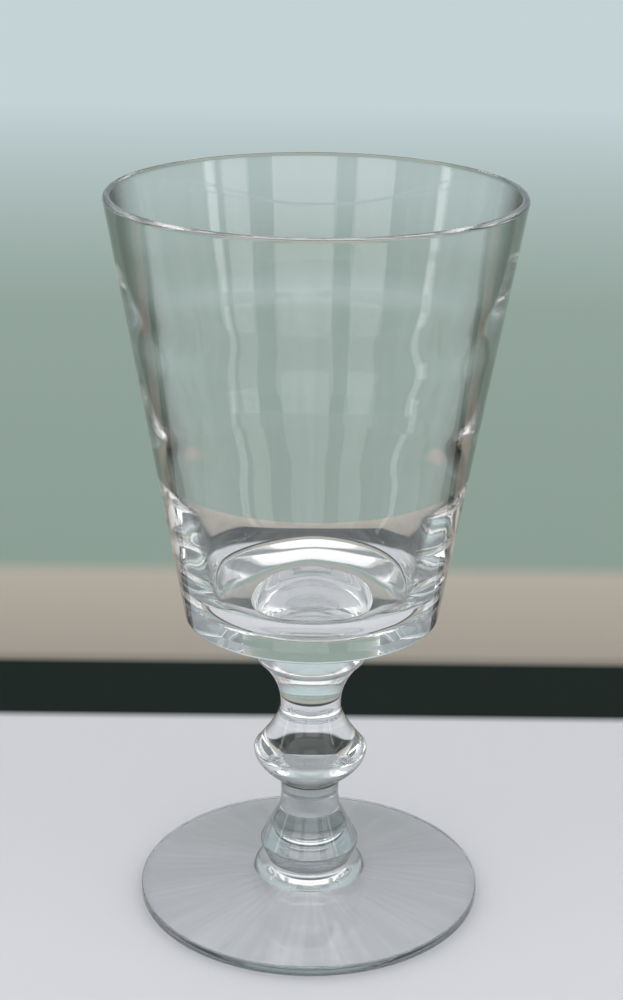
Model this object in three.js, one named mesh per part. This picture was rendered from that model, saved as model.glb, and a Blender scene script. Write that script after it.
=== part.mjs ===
import * as THREE from "three";

// Footed water glass in millimetres. It stands on z = 0 and its axis is z.
// Four gathers of glass are fused one above the other at flat round faces.
// The heights of each piece count from its own lower face.
const segments = 60;
const curveSteps = 4;

// Foot: a disc with a flat rim that rises to a round-shouldered boss, with a slightly hollow underside
const footRadius = 38.05;
const footEdge = 2.4;
const footRounding = 0.5;
const restRingInner = 34.5;
const footHollow = 0.9;
const bossRootRadius = 12.5;
const bossRootHeight = 5.2;
const bossShoulderRadius = 11.9;
const footHeight = 8;

// Bell stem: a bead that stands on the boss, a straight skirt and a narrow neck
const bossJointRadius = 9.4;
const beadRadius = 10.95;
const beadRounding = 1.4;
const beadHeight = 4;
const skirtTopRadius = 7;
const skirtTopHeight = 12.6;
const lowerNeckRadius = 6.43;
const lowerNeckHeight = 16.5;
const neckJointRadius = 6.95;
const bellHeight = 20;

// Knop stem: a knop with a full round underside, a narrow neck and a collar that flares at 45 degrees
const knopRadius = 12.55;
const knopRounding = 1.2;
const knopUnderHeight = 3.9;
const knopEdgeHeight = 7;
const knopShoulderLean = THREE.MathUtils.degToRad(40);
const upperNeckRadius = 6.7;
const upperNeckHeight = 18.2;
const flareRadius = 11.7;
const flareHeight = 29;
const collarJointRadius = 14;
const knopStemHeight = 39.4;

// Bowl: a cone with a round lip, two soft thick rings inside its wall and a round-cornered hollow
const bowlFlatRadius = 26.4;
const bowlCorner = 1.2;
const rimRadius = 43.15;
const wallThickness = 1.8;
const thinWallHeight = 76;
const upperRingHeight = 67;
const upperRingThickness = 2.4;
const waistTopHeight = 59;
const waistBottomHeight = 50;
const waistThickness = 1.9;
const lowerRingHeight = 41.5;
const lowerRingThickness = 2.5;
const hollowTopHeight = 33;
const hollowTopThickness = 2.2;
const hollowLean = THREE.MathUtils.degToRad(16);
const hollowCorner = 12;
const bottomThickness = 2.6;
const bowlHeight = 92.6;

// Each outline runs from the axis at the piece's lower face, up its outside, to the axis at its top.
function footOutline() {
  const rimCentre = footRadius - footRounding;
  const outline = new THREE.Path();
  outline.moveTo(0, footHollow);
  outline.quadraticCurveTo(restRingInner / 2, footHollow, restRingInner, 0);
  outline.absarc(rimCentre, footRounding, footRounding, -Math.PI / 2, 0);
  outline.absarc(rimCentre, footEdge - footRounding, footRounding, 0, Math.PI / 2);
  outline.lineTo(bossRootRadius, bossRootHeight);
  outline.quadraticCurveTo(bossShoulderRadius, footHeight, bossJointRadius, footHeight);
  outline.lineTo(0, footHeight);
  return outline;
}

function bellOutline() {
  const beadLean = Math.atan2(beadRadius - bossJointRadius, beadHeight);
  const skirtLean = Math.atan2(beadRadius - skirtTopRadius, skirtTopHeight - beadHeight);
  const outline = new THREE.Path();
  outline.moveTo(0, 0);
  outline.lineTo(bossJointRadius, 0);
  outline.absarc(beadRadius - beadRounding, beadHeight, beadRounding, -beadLean, skirtLean);
  outline.lineTo(skirtTopRadius, skirtTopHeight);
  outline.quadraticCurveTo(
    lowerNeckRadius, (skirtTopHeight + lowerNeckHeight) / 2,
    lowerNeckRadius, lowerNeckHeight,
  );
  outline.quadraticCurveTo(
    lowerNeckRadius, (lowerNeckHeight + bellHeight) / 2,
    neckJointRadius, bellHeight,
  );
  outline.lineTo(0, bellHeight);
  return outline;
}

function knopOutline() {
  const edgeCentre = knopRadius - knopRounding;
  const shoulderRadius = edgeCentre + knopRounding * Math.cos(knopShoulderLean);
  const shoulderHeight = knopEdgeHeight + knopRounding * Math.sin(knopShoulderLean);
  const shoulderReach = (shoulderRadius - upperNeckRadius) / Math.tan(knopShoulderLean);
  const outline = new THREE.Path();
  outline.moveTo(0, 0);
  outline.lineTo(neckJointRadius, 0);
  outline.quadraticCurveTo(knopRadius, knopUnderHeight, knopRadius, knopEdgeHeight);
  outline.absarc(edgeCentre, knopEdgeHeight, knopRounding, 0, knopShoulderLean);
  outline.quadraticCurveTo(
    upperNeckRadius, shoulderHeight + shoulderReach,
    upperNeckRadius, upperNeckHeight,
  );
  outline.quadraticCurveTo(
    upperNeckRadius, flareHeight - (flareRadius - upperNeckRadius),
    flareRadius, flareHeight,
  );
  outline.quadraticCurveTo(
    collarJointRadius, flareHeight + (collarJointRadius - flareRadius),
    collarJointRadius, knopStemHeight,
  );
  outline.lineTo(0, knopStemHeight);
  return outline;
}

function bowlOutline() {
  const lip = wallThickness / 2;
  const lipHeight = bowlHeight - lip;
  const bottomRadius = bowlFlatRadius + bowlCorner;
  const wallSlope = (rimRadius - bottomRadius) / (lipHeight - bowlCorner);
  const wallLean = Math.atan(wallSlope);
  const inside = (height, thickness) =>
    new THREE.Vector2(bottomRadius + (height - bowlCorner) * wallSlope - thickness, height);
  const hollowTop = inside(hollowTopHeight, hollowTopThickness);
  const cornerHeight = bottomThickness + hollowCorner;
  const coneAtCorner = hollowTop.x - (hollowTopHeight - cornerHeight) * Math.tan(hollowLean);
  const cornerCentre = coneAtCorner - hollowCorner / Math.cos(hollowLean);
  const outline = new THREE.Path();
  outline.moveTo(0, 0);
  outline.lineTo(bowlFlatRadius, 0);
  outline.absarc(bowlFlatRadius, bowlCorner, bowlCorner, -Math.PI / 2, -wallLean);
  outline.absarc(rimRadius - lip, lipHeight, lip, -wallLean, Math.PI - wallLean);
  outline.splineThru([
    inside(thinWallHeight, wallThickness),
    inside(upperRingHeight, upperRingThickness),
    inside(waistTopHeight, waistThickness),
    inside(waistBottomHeight, waistThickness),
    inside(lowerRingHeight, lowerRingThickness),
    hollowTop,
  ]);
  outline.absarc(cornerCentre, cornerHeight, hollowCorner, -hollowLean, -Math.PI / 2, true);
  outline.lineTo(0, bottomThickness);
  return outline;
}

function turnedPiece(name, outline, lowerFace, colour) {
  const glass = new THREE.MeshStandardMaterial({
    color: colour,
    roughness: 0.05,
    metalness: 0,
    transparent: true,
    opacity: 0.4,
  });
  const piece = new THREE.Mesh(new THREE.LatheGeometry(outline.getPoints(curveSteps), segments), glass);
  piece.name = name;
  piece.rotation.x = Math.PI / 2;
  piece.position.z = lowerFace;
  return piece;
}

const bellFace = footHeight;
const knopFace = bellFace + bellHeight;
const bowlFace = knopFace + knopStemHeight;

const waterGlass = new THREE.Group();
waterGlass.name = "footed_water_glass";
waterGlass.add(turnedPiece("foot", footOutline(), 0, 0xd9e4e4));
waterGlass.add(turnedPiece("bell_stem", bellOutline(), bellFace, 0xdfe8e8));
waterGlass.add(turnedPiece("knop_stem", knopOutline(), knopFace, 0xdfe8e8));
waterGlass.add(turnedPiece("bowl", bowlOutline(), bowlFace, 0xe4ecec));

export default waterGlass;
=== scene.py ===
"""Smooth clear-glass pieces of a footed water glass, with a plain stage, a camera and soft light."""

from __future__ import annotations

import logging
import math
from dataclasses import dataclass, field
from enum import Enum
from typing import NamedTuple

import bpy
from mathutils import Matrix, Vector

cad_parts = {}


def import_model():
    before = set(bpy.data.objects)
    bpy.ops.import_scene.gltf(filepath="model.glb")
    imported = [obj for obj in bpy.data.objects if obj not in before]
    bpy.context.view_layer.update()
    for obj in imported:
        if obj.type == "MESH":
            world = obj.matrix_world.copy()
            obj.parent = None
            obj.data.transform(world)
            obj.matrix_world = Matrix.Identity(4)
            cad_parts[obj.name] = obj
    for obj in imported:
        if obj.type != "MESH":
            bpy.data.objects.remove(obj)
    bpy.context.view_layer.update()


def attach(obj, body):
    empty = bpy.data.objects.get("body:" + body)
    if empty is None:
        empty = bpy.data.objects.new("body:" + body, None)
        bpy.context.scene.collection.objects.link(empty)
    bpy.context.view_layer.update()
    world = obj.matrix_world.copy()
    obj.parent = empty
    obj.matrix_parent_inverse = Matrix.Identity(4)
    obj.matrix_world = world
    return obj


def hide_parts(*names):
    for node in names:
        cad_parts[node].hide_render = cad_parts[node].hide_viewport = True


LOG = logging.getLogger("water_glass")
MM = 0.001
FULL_TURN = 2 * math.pi
QUARTER_TURN = math.pi / 2
TINY = 1e-6
MOST_BOUNCES = 128

# Radii of the round faces where two gathers meet, in millimetres
BOSS_JOINT = 9.4
NECK_JOINT = 6.95
COLLAR_JOINT = 14.0

Point = tuple[float, float]
Colour = tuple[float, float, float]
ScreenColour = tuple[int, int, int]
Stops = tuple[tuple[float, ScreenColour], ...]


def linear(red: int, green: int, blue: int) -> Colour:
    """Turns a screen colour into the linear one that shaders take.

    Args:
        red: Red, from 0 to 255.
        green: Green, from 0 to 255.
        blue: Blue, from 0 to 255.

    Returns:
        The three linear values, from 0 to 1.
    """
    shares = [value / 255 for value in (red, green, blue)]
    return tuple(s / 12.92 if s <= 0.04045 else ((s + 0.055) / 1.055) ** 2.4 for s in shares)


class Wire:
    """A node's output that takes part in Python expressions."""

    def __init__(self, bench: Bench, socket: bpy.types.NodeSocket) -> None:
        """Wraps an output socket of the bench's tree."""
        self.bench = bench
        self.socket = socket

    def _math(self, operation: str, left: Wire | float, right: Wire | float) -> Wire:
        """Adds a Math node.

        Args:
            operation: The node's operation.
            left: The first value.
            right: The second value.

        Returns:
            The node's result.
        """
        return self.bench.add("ShaderNodeMath", {"operation": operation}, {0: left, 1: right})

    def __add__(self, other: Wire | float) -> Wire:
        """Sum."""
        return self._math("ADD", self, other)

    __radd__ = __add__

    def __sub__(self, other: Wire | float) -> Wire:
        """Difference."""
        return self._math("SUBTRACT", self, other)

    def __rsub__(self, other: Wire | float) -> Wire:
        """Difference from a number."""
        return self._math("SUBTRACT", other, self)

    def __mul__(self, other: Wire | float) -> Wire:
        """Product."""
        return self._math("MULTIPLY", self, other)

    __rmul__ = __mul__


class Bench:
    """The node tree of one material or of the world."""

    FIRST_COLOUR = 6
    SECOND_COLOUR = 7

    def __init__(self, owner: bpy.types.Material | bpy.types.World) -> None:
        """Empties the owner's node tree, ready for new nodes.

        Args:
            owner: The material or world whose tree it is.
        """
        owner.use_nodes = True
        self.tree = owner.node_tree
        self.tree.nodes.clear()

    def add(self, kind: str, settings: dict | None = None, inputs: dict | None = None) -> Wire:
        """Adds a node.

        Args:
            kind: The node's type.
            settings: Properties of the node, set first. A ramp's stops come as "stops".
            inputs: Values or wires by socket name or number.

        Returns:
            The node's first output.
        """
        node = self.tree.nodes.new(kind)
        for name, value in (settings or {}).items():
            if name == "stops":
                self._set_stops(node.color_ramp, value)
            else:
                setattr(node, name, value)
        for name, value in (inputs or {}).items():
            if isinstance(value, Wire):
                self.tree.links.new(value.socket, node.inputs[name])
            else:
                node.inputs[name].default_value = value
        return Wire(self, next((s for s in node.outputs if s.enabled), None))

    def other(self, wire: Wire, name: str) -> Wire:
        """Another output of the node behind a wire."""
        return Wire(self, wire.socket.node.outputs[name])

    @staticmethod
    def _set_stops(ramp: bpy.types.ColorRamp, stops: list[tuple[float, Colour]]) -> None:
        """Puts the given stops on a ramp in place of its own.

        Args:
            ramp: The ramp.
            stops: Places from 0 to 1, with their colours.
        """
        while len(ramp.elements) > 1:
            ramp.elements.remove(ramp.elements[-1])
        for number, (place, colour) in enumerate(stops):
            stop = ramp.elements[0] if number == 0 else ramp.elements.new(place)
            stop.position = place
            stop.color = (*colour, 1)

    def noise(self, place: Wire, scale: float, detail: float) -> Wire:
        """Soft noise from 0 to 1."""
        return self.add("ShaderNodeTexNoise", None, {"Vector": place, "Scale": scale, "Detail": detail})

    def ease(self, value: Wire, limits: Point, ends: Point = (0.0, 1.0)) -> Wire:
        """Goes smoothly from one end to the other while a value passes between two limits.

        Args:
            value: The value that is followed.
            limits: Where the change begins and where it is full.
            ends: The result up to the first limit and from the second one on.

        Returns:
            The eased result.
        """
        inputs = {
            "Value": value,
            "From Min": limits[0],
            "From Max": limits[1],
            "To Min": ends[0],
            "To Max": ends[1],
        }
        return self.add("ShaderNodeMapRange", {"interpolation_type": "SMOOTHSTEP"}, inputs)

    def blend(self, share: Wire, first: Wire | Colour, second: Wire | Colour) -> Wire:
        """Mixes two colours.

        Args:
            share: The share of the second colour, held between 0 and 1.
            first: The colour at a share of 0.
            second: The colour at a share of 1.

        Returns:
            The mixed colour.
        """
        inputs = {0: share}
        for socket, colour in ((self.FIRST_COLOUR, first), (self.SECOND_COLOUR, second)):
            inputs[socket] = colour if isinstance(colour, Wire) else (*colour, 1)
        return self.add("ShaderNodeMix", {"data_type": "RGBA"}, inputs)

    def close(self, shader: Wire, kind: str = "ShaderNodeOutputMaterial") -> None:
        """Links the finished shader to the tree's output."""
        self.add(kind, None, {"Surface": shader})


class MarkRun(NamedTuple):
    """How the faint marks of a piece of glass run.

    Attributes:
        around: How finely they divide the round.
        along: How finely they divide each metre of height.
        outward: The share of that fineness that they have away from the axis.
    """

    around: float
    along: float
    outward: float


class Working(Enum):
    """How a piece of glass was worked. The value is the run of the marks that this left."""

    BLOWN = MarkRun(around=14.0, along=30.0, outward=0.0)
    TURNED = MarkRun(around=1.0, along=500.0, outward=0.0)
    SPUN = MarkRun(around=16.0, along=60.0, outward=0.3)


@dataclass(frozen=True)
class ClearGlass:
    """Fire-polished clear glass with faint marks of its working, and painted shade as a dark outline where
    the view grazes it.

    Attributes:
        working: How the piece was worked.
        tint: The colour that a ray keeps where it meets the surface squarely.
        mark_tint: The colour that it keeps along the marks.
        mark_limits: Strengths of the marks between which one colour gives way to the other.
        mark_detail: How many finer layers the marks have.
        mark_depth: The height of the marks, in millimetres.
        edge_painted_shade: The colour that the glass takes where the view grazes its surface: partly the long
            path through the glass, mostly painted shade that draws a dark outline following the view.
        edge_shade_limits: How far the surface turns away where that painted shade begins and is full, from 0
            to 1.
        rim_radius: Where a rim is, through which one looks along the whole piece, in millimetres, or 0.
        rim_width: How wide the rim is, in millimetres.
        rim_tint_and_painted_shade: The colour that a ray keeps at the rim, partly the long path through the
            glass and partly painted shade where the rim meets the table.
        patch_scale: How many water-marked patches there are to a metre.
        patch_detail: How many finer layers the patches have.
        patch_limits: Strengths of the patches where dullness begins and is full.
        dullness: The roughness of the cleanest and of the dullest patches.
        bend: The index of refraction.
    """

    working: Working
    tint: Colour = (0.985, 0.993, 0.99)
    mark_tint: Colour = (0.96, 0.97, 0.968)
    mark_limits: Point = (0.42, 0.62)
    mark_detail: float = 3.0
    mark_depth: float = 0.004
    edge_painted_shade: Colour = (0.1, 0.085, 0.07)
    edge_shade_limits: Point = (0.4, 0.85)
    rim_radius: float = 0.0
    rim_width: float = 0.5
    rim_tint_and_painted_shade: Colour = (0.2, 0.22, 0.225)
    patch_scale: float = 45.0
    patch_detail: float = 4.0
    patch_limits: Point = (0.5, 0.75)
    dullness: Point = (0.0, 0.03)
    bend: float = 1.515

    def material(self) -> bpy.types.Material:
        """Makes the material.

        Returns:
            The new material.
        """
        glass = bpy.data.materials.new(f"clear_glass_{self.working.name.lower()}")
        bench = Bench(glass)
        place = bench.other(bench.add("ShaderNodeTexCoord"), "Object")
        level = bench.add("ShaderNodeVectorMath", {"operation": "MULTIPLY"}, {0: place, 1: (1, 1, 0)})
        marks = bench.noise(self._along_marks(bench, place, level), 1.0, self.mark_detail)
        relief = {"Strength": 1.0, "Distance": self.mark_depth * MM, "Height": marks}
        patches = bench.noise(place, self.patch_scale, self.patch_detail)
        # Facing drives painted shade: a dark outline on the glass that follows the view.
        grazing = bench.other(bench.add("ShaderNodeLayerWeight"), "Facing")
        colour = bench.blend(bench.ease(marks, self.mark_limits), self.mark_tint, self.tint)
        # The rim ring is darkened partly for the long path through the glass, partly as painted shade where
        # it meets the table.
        if self.rim_radius:
            spread = bench.add("ShaderNodeVectorMath", {"operation": "LENGTH"}, {0: level})
            rim_limits = ((self.rim_radius - self.rim_width) * MM, self.rim_radius * MM)
            colour = bench.blend(bench.ease(spread, rim_limits), colour, self.rim_tint_and_painted_shade)
        shader = bench.add(
            "ShaderNodeBsdfPrincipled",
            None,
            {
                "Base Color": bench.blend(bench.ease(grazing, self.edge_shade_limits), colour, self.edge_painted_shade),
                "Roughness": bench.ease(patches, self.patch_limits, self.dullness),
                "IOR": self.bend,
                "Transmission Weight": 1.0,
                "Normal": bench.add("ShaderNodeBump", None, relief),
            },
        )
        bench.close(shader)
        return glass

    def _along_marks(self, bench: Bench, place: Wire, level: Wire) -> Wire:
        """Stretches the place where noise is read along the run of the marks.

        Args:
            bench: The material's tree.
            place: A point of the surface, in metres.
            level: The same point without its height.

        Returns:
            The stretched place.
        """
        run = self.working.value
        spoke = bench.add("ShaderNodeVectorMath", {"operation": "NORMALIZE"}, {0: level})
        turn = bench.add("ShaderNodeVectorMath", {"operation": "SCALE"}, {0: spoke, "Scale": run.around})
        shares = tuple(share * run.along for share in (run.outward, run.outward, 1.0))
        climb = bench.add("ShaderNodeVectorMath", {"operation": "MULTIPLY"}, {0: place, 1: shares})
        return bench.add("ShaderNodeVectorMath", {"operation": "ADD"}, {0: turn, 1: climb})


@dataclass(frozen=True)
class FusedJoint:
    """The inner face where two gathers have melted into one, which nothing shows."""

    def material(self) -> bpy.types.Material:
        """Makes the material.

        Returns:
            The new material.
        """
        joint = bpy.data.materials.new("fused_joint")
        bench = Bench(joint)
        bench.close(bench.add("ShaderNodeBsdfTransparent"))
        return joint


class Skin(Enum):
    """Which finish a stretch of an outline takes. The value is its material slot."""

    GLASS = 0
    JOINT = 1


@dataclass
class Outline:
    """A half section of a turned piece, from the axis below, up the outside, to the axis above.

    Attributes:
        fineness: Straight steps in each curve.
        arc_step: The widest angle that a step of an arc spans, in radians.
        points: Radius and height of each point, in millimetres.
        skins: The finish of each step between two points.
    """

    fineness: int = 14
    arc_step: float = math.radians(5)
    points: list[Point] = field(default_factory=list)
    skins: list[Skin] = field(default_factory=list)

    def start(self, radius: float, height: float) -> None:
        """Sets the first point."""
        self.points = [(radius, height)]

    def line(self, radius: float, height: float, steps: int = 1, skin: Skin = Skin.GLASS) -> None:
        """Draws a straight stretch.

        Args:
            radius: Radius at its end.
            height: Height at its end.
            steps: How many steps it is cut into.
            skin: Its finish.
        """
        first = Vector(self.points[-1])
        last = Vector((radius, height))
        if (last - first).length < TINY:
            return
        for step in range(1, steps + 1):
            self._to(first.lerp(last, step / steps), skin)

    def curve(self, by: Point, to: Point) -> None:
        """Draws a curve that leaves towards one point and ends at another.

        Args:
            by: The point that the curve leaves towards and arrives from.
            to: Its end.
        """
        first = Vector(self.points[-1])
        for step in range(1, self.fineness + 1):
            share = step / self.fineness
            towards = first.lerp(Vector(by), share)
            self._to(towards.lerp(Vector(by).lerp(Vector(to), share), share))

    def arc(self, centre: Point, radius: float, begin: float, end: float) -> None:
        """Draws a straight stretch to an arc's beginning, if it isn't there yet, and the arc.

        Args:
            centre: The arc's centre.
            radius: Its radius.
            begin: The angle where it begins, in radians.
            end: The angle where it ends.
        """
        steps = max(self.fineness, math.ceil(abs(end - begin) / self.arc_step))
        for step in range(steps + 1):
            angle = begin + (end - begin) * step / steps
            self.line(centre[0] + radius * math.cos(angle), centre[1] + radius * math.sin(angle))

    def through(self, stations: list[Point]) -> None:
        """Draws a smooth curve from the last point through all the given ones.

        Args:
            stations: The points that it passes through.
        """
        knots = [Vector(p) for p in (self.points[-1], *stations)]
        for number in range(len(knots) - 1):
            before = knots[max(number - 1, 0)]
            first, last = knots[number], knots[number + 1]
            after = knots[min(number + 2, len(knots) - 1)]
            leave = (last - before) / 2
            arrive = (after - first) / 2
            for step in range(1, self.fineness + 1):
                t = step / self.fineness
                rise = t * t * (3 - 2 * t)
                self._to(
                    first.lerp(last, rise)
                    + leave * (t * (1 - t) ** 2)
                    - arrive * (t * t * (1 - t))
                )

    def _to(self, point: Vector, skin: Skin = Skin.GLASS) -> None:
        """Adds a point and the finish of the step that leads to it."""
        self.points.append((point.x, point.y))
        self.skins.append(skin)


@dataclass
class TurnedPiece:
    """A gather of glass that is turned about the upright axis.

    Attributes:
        node: The frame's node that it stands for.
        base: Height of its lower face, in millimetres.
        working: How it was worked.
        flats: Steps round the axis.
        crease: Edges that fold by more than this many degrees stay crisp.
    """

    node: str
    base: float
    working: Working
    flats: int = 192
    crease: float = 24.0

    def outline(self) -> Outline:
        """The half section, with heights from the lower face."""
        raise NotImplementedError

    def unevenness(self, radius: float, height: float, angle: float) -> float:
        """How far a point stands out from the true round, in millimetres."""
        return 0.0

    def build(self) -> bpy.types.Object:
        """Turns the outline into a mesh object.

        Returns:
            The new object.
        """
        outline = self.outline()
        rings: list[list[int]] = []
        vertices: list[tuple[float, float, float]] = []
        for radius, height in outline.points:
            ring = self._ring(radius, height)
            rings.append(list(range(len(vertices), len(vertices) + len(ring))))
            vertices.extend(ring)
        faces: list[tuple[int, ...]] = []
        slots: list[int] = []
        for lower, upper, skin in zip(rings, rings[1:], outline.skins):
            strip = self._strip(lower, upper)
            faces.extend(strip)
            slots.extend([skin.value] * len(strip))
        mesh = bpy.data.meshes.new(f"{self.node}_glass")
        mesh.from_pydata(vertices, [], faces)
        mesh.polygons.foreach_set("material_index", slots)
        mesh.shade_smooth()
        mesh.set_sharp_from_angle(angle=math.radians(self.crease))
        piece = bpy.data.objects.new(f"{self.node}_glass", mesh)
        bpy.context.scene.collection.objects.link(piece)
        return piece

    def _ring(self, radius: float, height: float) -> list[tuple[float, float, float]]:
        """The points of one level of the mesh, in metres.

        Args:
            radius: Radius of the level.
            height: Height above the piece's lower face.

        Returns:
            One point on the axis, or a point for each flat.
        """
        level = (self.base + height) * MM
        if radius < TINY:
            return [(0.0, 0.0, level)]
        ring = []
        for flat in range(self.flats):
            angle = FULL_TURN * flat / self.flats
            reach = (radius + self.unevenness(radius, height, angle)) * MM
            ring.append((reach * math.cos(angle), reach * math.sin(angle), level))
        return ring

    def _strip(self, lower: list[int], upper: list[int]) -> list[tuple[int, ...]]:
        """The faces between two levels, facing away from the glass.

        Args:
            lower: Points of the level that comes first in the outline.
            upper: Points of the next level.

        Returns:
            Faces as tuples of points.
        """
        faces: list[tuple[int, ...]] = []
        for flat in range(self.flats):
            following = (flat + 1) % self.flats
            if len(lower) == 1:
                faces.append((lower[0], upper[following], upper[flat]))
            elif len(upper) == 1:
                faces.append((lower[flat], lower[following], upper[0]))
            else:
                faces.append((lower[flat], lower[following], upper[following], upper[flat]))
        return faces

    def glass(self) -> ClearGlass:
        """The finish of the piece."""
        return ClearGlass(self.working)

    def dress(self, piece: bpy.types.Object) -> None:
        """Gives the piece its finishes and ties it to the frame.

        Args:
            piece: The piece's object.
        """
        piece.data.materials.append(self.glass().material())
        piece.data.materials.append(FusedJoint().material())
        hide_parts(self.node)
        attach(piece, "root")

    def make(self) -> bpy.types.Object:
        """Builds the piece and dresses it.

        Returns:
            The finished object.
        """
        piece = self.build()
        self.dress(piece)
        return piece


@dataclass
class Foot(TurnedPiece):
    """The disc that the glass stands on, which rises to a round-shouldered boss. Sizes are in millimetres."""

    radius: float = 38.05
    edge: float = 2.4
    rim_rounding: float = 0.5
    rest_ring_inner: float = 34.5
    hollow: float = 0.9
    boss_root_radius: float = 12.5
    boss_root_height: float = 5.2
    boss_shoulder_radius: float = 11.9
    joint_radius: float = BOSS_JOINT
    height: float = 8.0

    def glass(self) -> ClearGlass:
        """Slightly grey glass, because light passes the foot twice, with darker spokes painted as the streaks
        of light and shade that the stem throws through the foot.
        """
        # Painted light and shade: the darker mark colour draws spokes that stand for the streaks of focused
        # light round the stem.
        return ClearGlass(
            self.working, tint=(0.985, 0.985, 0.98), mark_tint=(0.91, 0.918, 0.916), rim_radius=self.radius
        )

    def outline(self) -> Outline:
        """Draws the half section.

        Returns:
            The outline, with heights from the table.
        """
        rim = self.radius - self.rim_rounding
        section = Outline()
        section.start(0, self.hollow)
        section.curve((self.rest_ring_inner / 2, self.hollow), (self.rest_ring_inner, 0))
        section.arc((rim, self.rim_rounding), self.rim_rounding, -QUARTER_TURN, 0)
        section.arc((rim, self.edge - self.rim_rounding), self.rim_rounding, 0, QUARTER_TURN)
        section.line(self.boss_root_radius, self.boss_root_height, steps=12)
        section.curve((self.boss_shoulder_radius, self.height), (self.joint_radius, self.height))
        section.line(0, self.height, skin=Skin.JOINT)
        return section


@dataclass
class BellStem(TurnedPiece):
    """The lower stem: a bead on the boss, a straight skirt and a narrow neck. Sizes are in millimetres."""

    joint_radius: float = BOSS_JOINT
    bead_radius: float = 10.95
    bead_rounding: float = 1.4
    bead_height: float = 4.0
    skirt_top_radius: float = 7.0
    skirt_top_height: float = 12.6
    neck_radius: float = 6.43
    neck_height: float = 16.5
    top_radius: float = NECK_JOINT
    height: float = 20.0

    def glass(self) -> ClearGlass:
        """Grey-green glass, tinted far darker than its own body colour as painted shade for the dark
        surroundings that the thick stem shows.
        """
        # Painted shade: the dark tint and marks stand for the dark things seen through the stem.
        return ClearGlass(self.working, tint=(0.55, 0.6, 0.59), mark_tint=(0.44, 0.49, 0.48))

    def outline(self) -> Outline:
        """Draws the half section.

        Returns:
            The outline, with heights from the joint on the boss.
        """
        bead_lean = math.atan2(self.bead_radius - self.joint_radius, self.bead_height)
        skirt_lean = math.atan2(
            self.bead_radius - self.skirt_top_radius, self.skirt_top_height - self.bead_height
        )
        section = Outline()
        section.start(0, 0)
        section.line(self.joint_radius, 0, skin=Skin.JOINT)
        centre = (self.bead_radius - self.bead_rounding, self.bead_height)
        section.arc(centre, self.bead_rounding, -bead_lean, skirt_lean)
        section.line(self.skirt_top_radius, self.skirt_top_height, steps=8)
        middle = (self.skirt_top_height + self.neck_height) / 2
        section.curve((self.neck_radius, middle), (self.neck_radius, self.neck_height))
        middle = (self.neck_height + self.height) / 2
        section.curve((self.neck_radius, middle), (self.top_radius, self.height))
        section.line(0, self.height, skin=Skin.JOINT)
        return section


@dataclass
class KnopStem(TurnedPiece):
    """The upper stem: a round knop, a narrow neck and a flared collar. Sizes are in millimetres."""

    joint_radius: float = NECK_JOINT
    knop_radius: float = 12.55
    knop_rounding: float = 1.2
    under_height: float = 3.9
    knop_height: float = 7.0
    shoulder_lean: float = math.radians(40)
    neck_radius: float = 6.7
    neck_height: float = 18.2
    flare_radius: float = 11.7
    flare_height: float = 29.0
    collar_radius: float = COLLAR_JOINT
    height: float = 39.4

    def outline(self) -> Outline:
        """Draws the half section.

        Returns:
            The outline, with heights from the joint on the lower neck.
        """
        centre = (self.knop_radius - self.knop_rounding, self.knop_height)
        section = Outline()
        section.start(0, 0)
        section.line(self.joint_radius, 0, skin=Skin.JOINT)
        section.curve((self.knop_radius, self.under_height), (self.knop_radius, self.knop_height))
        section.arc(centre, self.knop_rounding, 0, self.shoulder_lean)
        shoulder = section.points[-1]
        reach = (shoulder[0] - self.neck_radius) / math.tan(self.shoulder_lean)
        section.curve((self.neck_radius, shoulder[1] + reach), (self.neck_radius, self.neck_height))
        flare = (self.flare_radius, self.flare_height)
        section.curve((self.neck_radius, self.flare_height - (self.flare_radius - self.neck_radius)), flare)
        turn_up = self.flare_height + (self.collar_radius - self.flare_radius)
        section.curve((self.collar_radius, turn_up), (self.collar_radius, self.height))
        section.line(0, self.height, skin=Skin.JOINT)
        return section


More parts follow.
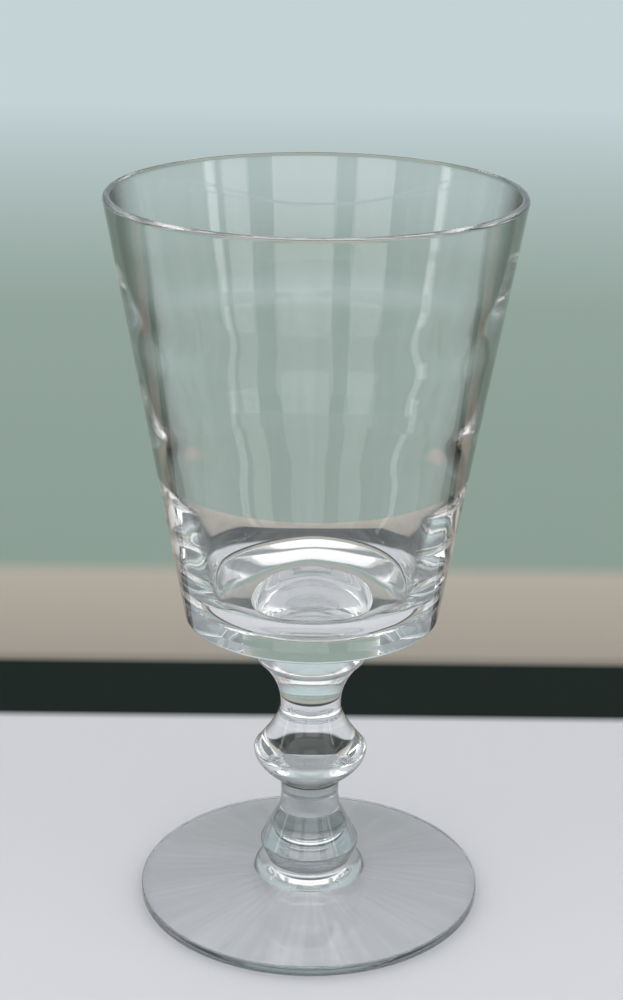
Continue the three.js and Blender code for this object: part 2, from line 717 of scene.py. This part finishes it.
@dataclass
class Bowl(TurnedPiece):
    """The cone-shaped cup with its round lip, soft inner rings and round hollow.

    Sizes are in millimetres. A ring, an end of the waist or the top of the hollow is the height of a place
    on the inner wall with the wall's thickness there. A wave is its count round the bowl, its size and its
    twist with height.
    """

    joint_radius: float = COLLAR_JOINT
    flat_radius: float = 26.4
    corner: float = 1.2
    rim_radius: float = 43.13
    wall: float = 1.8
    thin_wall_height: float = 76.0
    upper_ring: Point = (67.0, 2.4)
    waist_top: Point = (59.0, 1.9)
    waist_bottom: Point = (50.0, 1.9)
    lower_ring: Point = (41.5, 2.5)
    hollow_top: Point = (33.0, 2.2)
    hollow_lean: float = math.radians(16)
    hollow_corner: float = 12.0
    bottom: float = 2.6
    height: float = 92.58
    wave_fade: float = 20.0
    waves: tuple[tuple[int, float, float], ...] = ((5, 0.06, 0.05), (9, 0.035, -0.08), (16, 0.015, 0.03))

    def slope(self) -> float:
        """How much the outer wall widens for each millimetre of height."""
        rise = self.height - self.wall / 2 - self.corner
        return (self.rim_radius - self.flat_radius - self.corner) / rise

    def inside(self, height: float, thickness: float) -> Point:
        """A point of the inner wall where the wall has the given thickness."""
        outer = self.flat_radius + self.corner + (height - self.corner) * self.slope()
        return outer - thickness, height

    def unevenness(self, radius: float, height: float, angle: float) -> float:
        """Slow waves that blowing left in the inner wall.

        Args:
            radius: Radius of the point.
            height: Its height above the flat underside.
            angle: Its angle round the axis, in radians.

        Returns:
            How far it stands out from the true round, in millimetres.
        """
        if height < self.bottom or radius > self.inside(height, self.wall / 2)[0]:
            return 0.0
        fade = min(1.0, (self.height - height) / self.wave_fade, radius / self.wave_fade)
        swells = (size * math.sin(count * angle + twist * height) for count, size, twist in self.waves)
        return fade * sum(swells)

    def outline(self) -> Outline:
        """Draws the half section.

        Returns:
            The outline, with heights from the flat underside.
        """
        lip = self.wall / 2
        lip_height = self.height - lip
        lean = math.atan(self.slope())
        section = Outline()
        section.start(0, 0)
        section.line(self.joint_radius, 0, skin=Skin.JOINT)
        section.line(self.flat_radius, 0, steps=4)
        section.arc((self.flat_radius, self.corner), self.corner, -QUARTER_TURN, -lean)
        wall_top = (self.rim_radius - lip + lip * math.cos(lean), lip_height - lip * math.sin(lean))
        section.line(*wall_top, steps=24)
        section.arc((self.rim_radius - lip, lip_height), lip, -lean, math.pi - lean)
        hollow_top = self.inside(*self.hollow_top)
        rings = (self.upper_ring, self.waist_top, self.waist_bottom, self.lower_ring)
        ring_points = [self.inside(*station) for station in rings]
        section.through([self.inside(self.thin_wall_height, self.wall), *ring_points, hollow_top])
        corner_height = self.bottom + self.hollow_corner
        cone = hollow_top[0] - (hollow_top[1] - corner_height) * math.tan(self.hollow_lean)
        centre = (cone - self.hollow_corner / math.cos(self.hollow_lean), corner_height)
        corner_start = (
            centre[0] + self.hollow_corner * math.cos(self.hollow_lean),
            corner_height - self.hollow_corner * math.sin(self.hollow_lean),
        )
        section.line(*corner_start, steps=10)
        section.arc(centre, self.hollow_corner, -self.hollow_lean, -QUARTER_TURN)
        section.line(0, self.bottom, steps=4)
        return section


@dataclass(frozen=True)
class PaleFloor:
    """A plain floor that is pale around the glass, a little lighter in front as painted light, with a narrow
    band of painted shade behind it and darker, plain colours further behind.

    Attributes:
        radius: Radius of the floor, in metres.
        flats: Steps round its rim.
        gap: How far it lies below the foot, so that light gets under the glass, in metres.
        stops: Distances behind the glass, in metres, with screen colours.
    """

    radius: float = 4.0
    flats: int = 128
    gap: float = 0.0004
    stops: Stops = (
        # Painted light: the pale part is a little lighter in front of the glass than behind it.
        (-0.034, (216, 217, 222)),
        (0.036, (208, 209, 214)),
        (0.0855, (206, 207, 212)),
        # Painted shade: the narrow dark band after the pale part stands for a shadowed gap behind a table's
        # edge.
        (0.0875, (34, 42, 40)),
        (0.1205, (34, 42, 40)),
        (0.1245, (160, 154, 144)),
        (0.186, (178, 171, 160)),
        (0.197, (140, 158, 149)),
        (0.516, (146, 164, 156)),
        (1.086, (196, 211, 214)),
    )

    def make(self) -> bpy.types.Object:
        """Makes the floor.

        Returns:
            The floor object.
        """
        angles = [FULL_TURN * flat / self.flats for flat in range(self.flats)]
        rim = [(self.radius * math.cos(a), self.radius * math.sin(a), -self.gap) for a in angles]
        mesh = bpy.data.meshes.new("floor")
        mesh.from_pydata(rim, [], [tuple(range(self.flats))])
        mesh.materials.append(self.material())
        floor = bpy.data.objects.new("floor", mesh)
        bpy.context.scene.collection.objects.link(floor)
        return floor

    def material(self) -> bpy.types.Material:
        """Makes the floor's paint.

        Returns:
            The material.
        """
        paint = bpy.data.materials.new("floor_paint")
        bench = Bench(paint)
        place = bench.other(bench.add("ShaderNodeTexCoord"), "Object")
        behind = bench.other(bench.add("ShaderNodeSeparateXYZ", None, {0: place}), "Y")
        nearest = self.stops[0][0]
        reach = self.stops[-1][0] - nearest
        stops = [((distance - nearest) / reach, linear(*screen)) for distance, screen in self.stops]
        colour = bench.add("ShaderNodeValToRGB", {"stops": stops}, {"Fac": (behind - nearest) * (1 / reach)})
        bench.close(bench.add("ShaderNodeBsdfDiffuse", None, {"Color": colour}))
        return paint


@dataclass(frozen=True)
class StudioSky:
    """A surround that lights the floor evenly, and in which the camera and the glass see a plain studio.

    Attributes:
        stops: Heights of the view direction, from -1 below to 1 above, with the studio's screen colours.
        lean: How far the studio leans over, so that its bright ceiling comes lower on the camera's side.
        ceiling: Heights of the view direction where the bright ceiling begins and is full.
        ceiling_glow: How bright the ceiling is, beside a white wall at 1.
        even_light: The level at which the surround lights the floor.
    """

    stops: Stops = (
        (-0.1, (186, 202, 205)),
        (0.05, (178, 190, 192)),
        (0.3, (128, 134, 136)),
        (0.6, (120, 126, 130)),
        (0.7, (255, 255, 255)),
    )
    lean: float = 0.3
    ceiling: Point = (0.6, 0.72)
    ceiling_glow: float = 1.3
    even_light: float = 1.0

    def make(self) -> bpy.types.World:
        """Makes the world.

        Returns:
            The new world, set on the scene.
        """
        world = bpy.data.worlds.new("studio_sky")
        bpy.context.scene.world = world
        bench = Bench(world)
        view = bench.add("ShaderNodeTexCoord")
        parts = bench.add("ShaderNodeSeparateXYZ", None, {0: view})
        rise = bench.other(parts, "Z") - bench.other(parts, "Y") * self.lean
        stops = [(height / 2 + 0.5, linear(*screen)) for height, screen in self.stops]
        studio = bench.add("ShaderNodeValToRGB", {"stops": stops}, {"Fac": rise * 0.5 + 0.5})
        ceiling = bench.ease(rise, self.ceiling)
        seen_by_camera = bench.add("ShaderNodeLightPath")
        seen = (
            seen_by_camera
            + bench.other(seen_by_camera, "Is Glossy Ray")
            + bench.other(seen_by_camera, "Is Transmission Ray")
        )
        even = (self.even_light, self.even_light, self.even_light)
        colour = bench.blend(seen, even, studio)
        # A ray through glass counts twice in the sum, and a Mix node holds its share at 1.
        lift = bench.add("ShaderNodeMix", None, {0: seen, 2: 1.0, 3: 1 + ceiling * (self.ceiling_glow - 1)})
        glow = bench.add("ShaderNodeBackground", None, {"Color": colour, "Strength": lift})
        bench.close(glow, "ShaderNodeOutputWorld")
        return world


@dataclass(frozen=True)
class SoftBox:
    """A rectangular lamp that faces the glass and lights it alone, so that the floor stays even.

    Attributes:
        name: Its name.
        bearing: Degrees round the glass from the camera's side, towards the right.
        width: Its width, in metres.
        glow: How bright its face is, beside a white wall at 1.
        tall: Its height from edge to edge, in metres.
        distance: Level distance from the glass, in metres.
        height: Height of its middle above the floor, in metres.
        aim_height: Height of the point on the glass's axis that it faces, in metres.
    """

    name: str
    bearing: float
    width: float
    glow: float
    tall: float = 0.7
    distance: float = 1.2
    height: float = 0.37
    aim_height: float = 0.1

    def make(self) -> bpy.types.Object:
        """Makes the lamp.

        Returns:
            The lamp object.
        """
        lamp = bpy.data.lights.new(self.name, "AREA")
        lamp.shape = "RECTANGLE"
        lamp.size = self.width
        lamp.size_y = self.tall
        # At pi watts for each square metre, a lamp's face is as bright as a white wall at 1.
        lamp.energy = math.pi * self.width * self.tall * self.glow
        holder = bpy.data.objects.new(self.name, lamp)
        turn = math.radians(self.bearing)
        place = Vector((self.distance * math.sin(turn), -self.distance * math.cos(turn), self.height))
        aim = Vector((0, 0, self.aim_height)) - place
        holder.matrix_world = Matrix.Translation(place) @ aim.to_track_quat("-Z", "Y").to_matrix().to_4x4()
        holder.visible_camera = False
        holder.visible_diffuse = False
        bpy.context.scene.collection.objects.link(holder)
        return holder


@dataclass(frozen=True)
class PhotoCamera:
    """The camera that sees the glass as the photograph does.

    Attributes:
        place: Its position, in millimetres.
        pitch: Degrees that it looks down.
        roll: Degrees that it is turned about its own view.
        focal_pixels: Focal length, in pixels of the frame.
        frame_height: Height of the frame, in pixels.
        film: Long side of the film, in millimetres.
        nearest: Where its view begins, in metres.
    """

    place: tuple[float, float, float] = (-0.3, -408.0, 243.7)
    pitch: float = 20.21
    roll: float = 0.615
    focal_pixels: float = 2040.0
    frame_height: float = 1000.0
    film: float = 36.0
    nearest: float = 0.01

    def make(self) -> bpy.types.Object:
        """Makes the camera and gives it to the scene.

        Returns:
            The camera object.
        """
        lens = bpy.data.cameras.new("photo_camera")
        lens.sensor_fit = "AUTO"
        lens.sensor_width = self.film
        lens.lens = self.film * self.focal_pixels / self.frame_height
        lens.clip_start = self.nearest
        camera = bpy.data.objects.new("photo_camera", lens)
        place = Matrix.Translation([value * MM for value in self.place])
        look = Matrix.Rotation(math.radians(90 - self.pitch), 4, "X")
        tilt = Matrix.Rotation(math.radians(self.roll), 4, "Z")
        camera.matrix_world = place @ look @ tilt
        bpy.context.scene.collection.objects.link(camera)
        bpy.context.scene.camera = camera
        return camera


def set_light_paths() -> None:
    """Lets rays pass as many glass surfaces as the thick bottom needs."""
    cycles = bpy.context.scene.cycles
    cycles.max_bounces = MOST_BOUNCES
    cycles.transmission_bounces = MOST_BOUNCES
    cycles.glossy_bounces = MOST_BOUNCES
    cycles.transparent_max_bounces = MOST_BOUNCES
    cycles.blur_glossy = 0


def glass_pieces() -> list[TurnedPiece]:
    """Stacks the four gathers of glass from the table upwards.

    Returns:
        The pieces, not built yet.
    """
    foot = Foot("foot", 0, Working.SPUN)
    bell = BellStem("bell_stem", foot.height, Working.TURNED)
    knop = KnopStem("knop_stem", bell.base + bell.height, Working.TURNED)
    bowl = Bowl("bowl", knop.base + knop.height, Working.BLOWN)
    return [foot, bell, knop, bowl]


def stage_items() -> list[PaleFloor | StudioSky | SoftBox | PhotoCamera]:
    """Lists what stands round the glass.

    Returns:
        The floor, the surround, the lamps and the camera, not made yet.
    """
    lamps = [
        SoftBox("middle_window", bearing=7, width=0.85, glow=1.3),
        SoftBox("left_window", bearing=-36, width=0.5, glow=1.3),
        SoftBox("right_window", bearing=50, width=0.35, glow=1.3),
        SoftBox("left_strip", bearing=-82, width=0.14, glow=2.2),
        SoftBox("right_strip", bearing=66, width=0.14, glow=2.2),
    ]
    return [PaleFloor(), StudioSky(), *lamps, PhotoCamera()]


def main() -> None:
    """Loads the frame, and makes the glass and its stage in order."""
    logging.basicConfig(level=logging.INFO, format="%(name)s: %(message)s")
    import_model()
    for piece in glass_pieces():
        made = piece.make()
        LOG.info("%s: %d faces", made.name, len(made.data.polygons))
    for item in stage_items():
        LOG.info("stage: %s", item.make().name)
    bpy.context.scene.view_settings.view_transform = "Standard"
    set_light_paths()


if __name__ == "__main__":
    main()
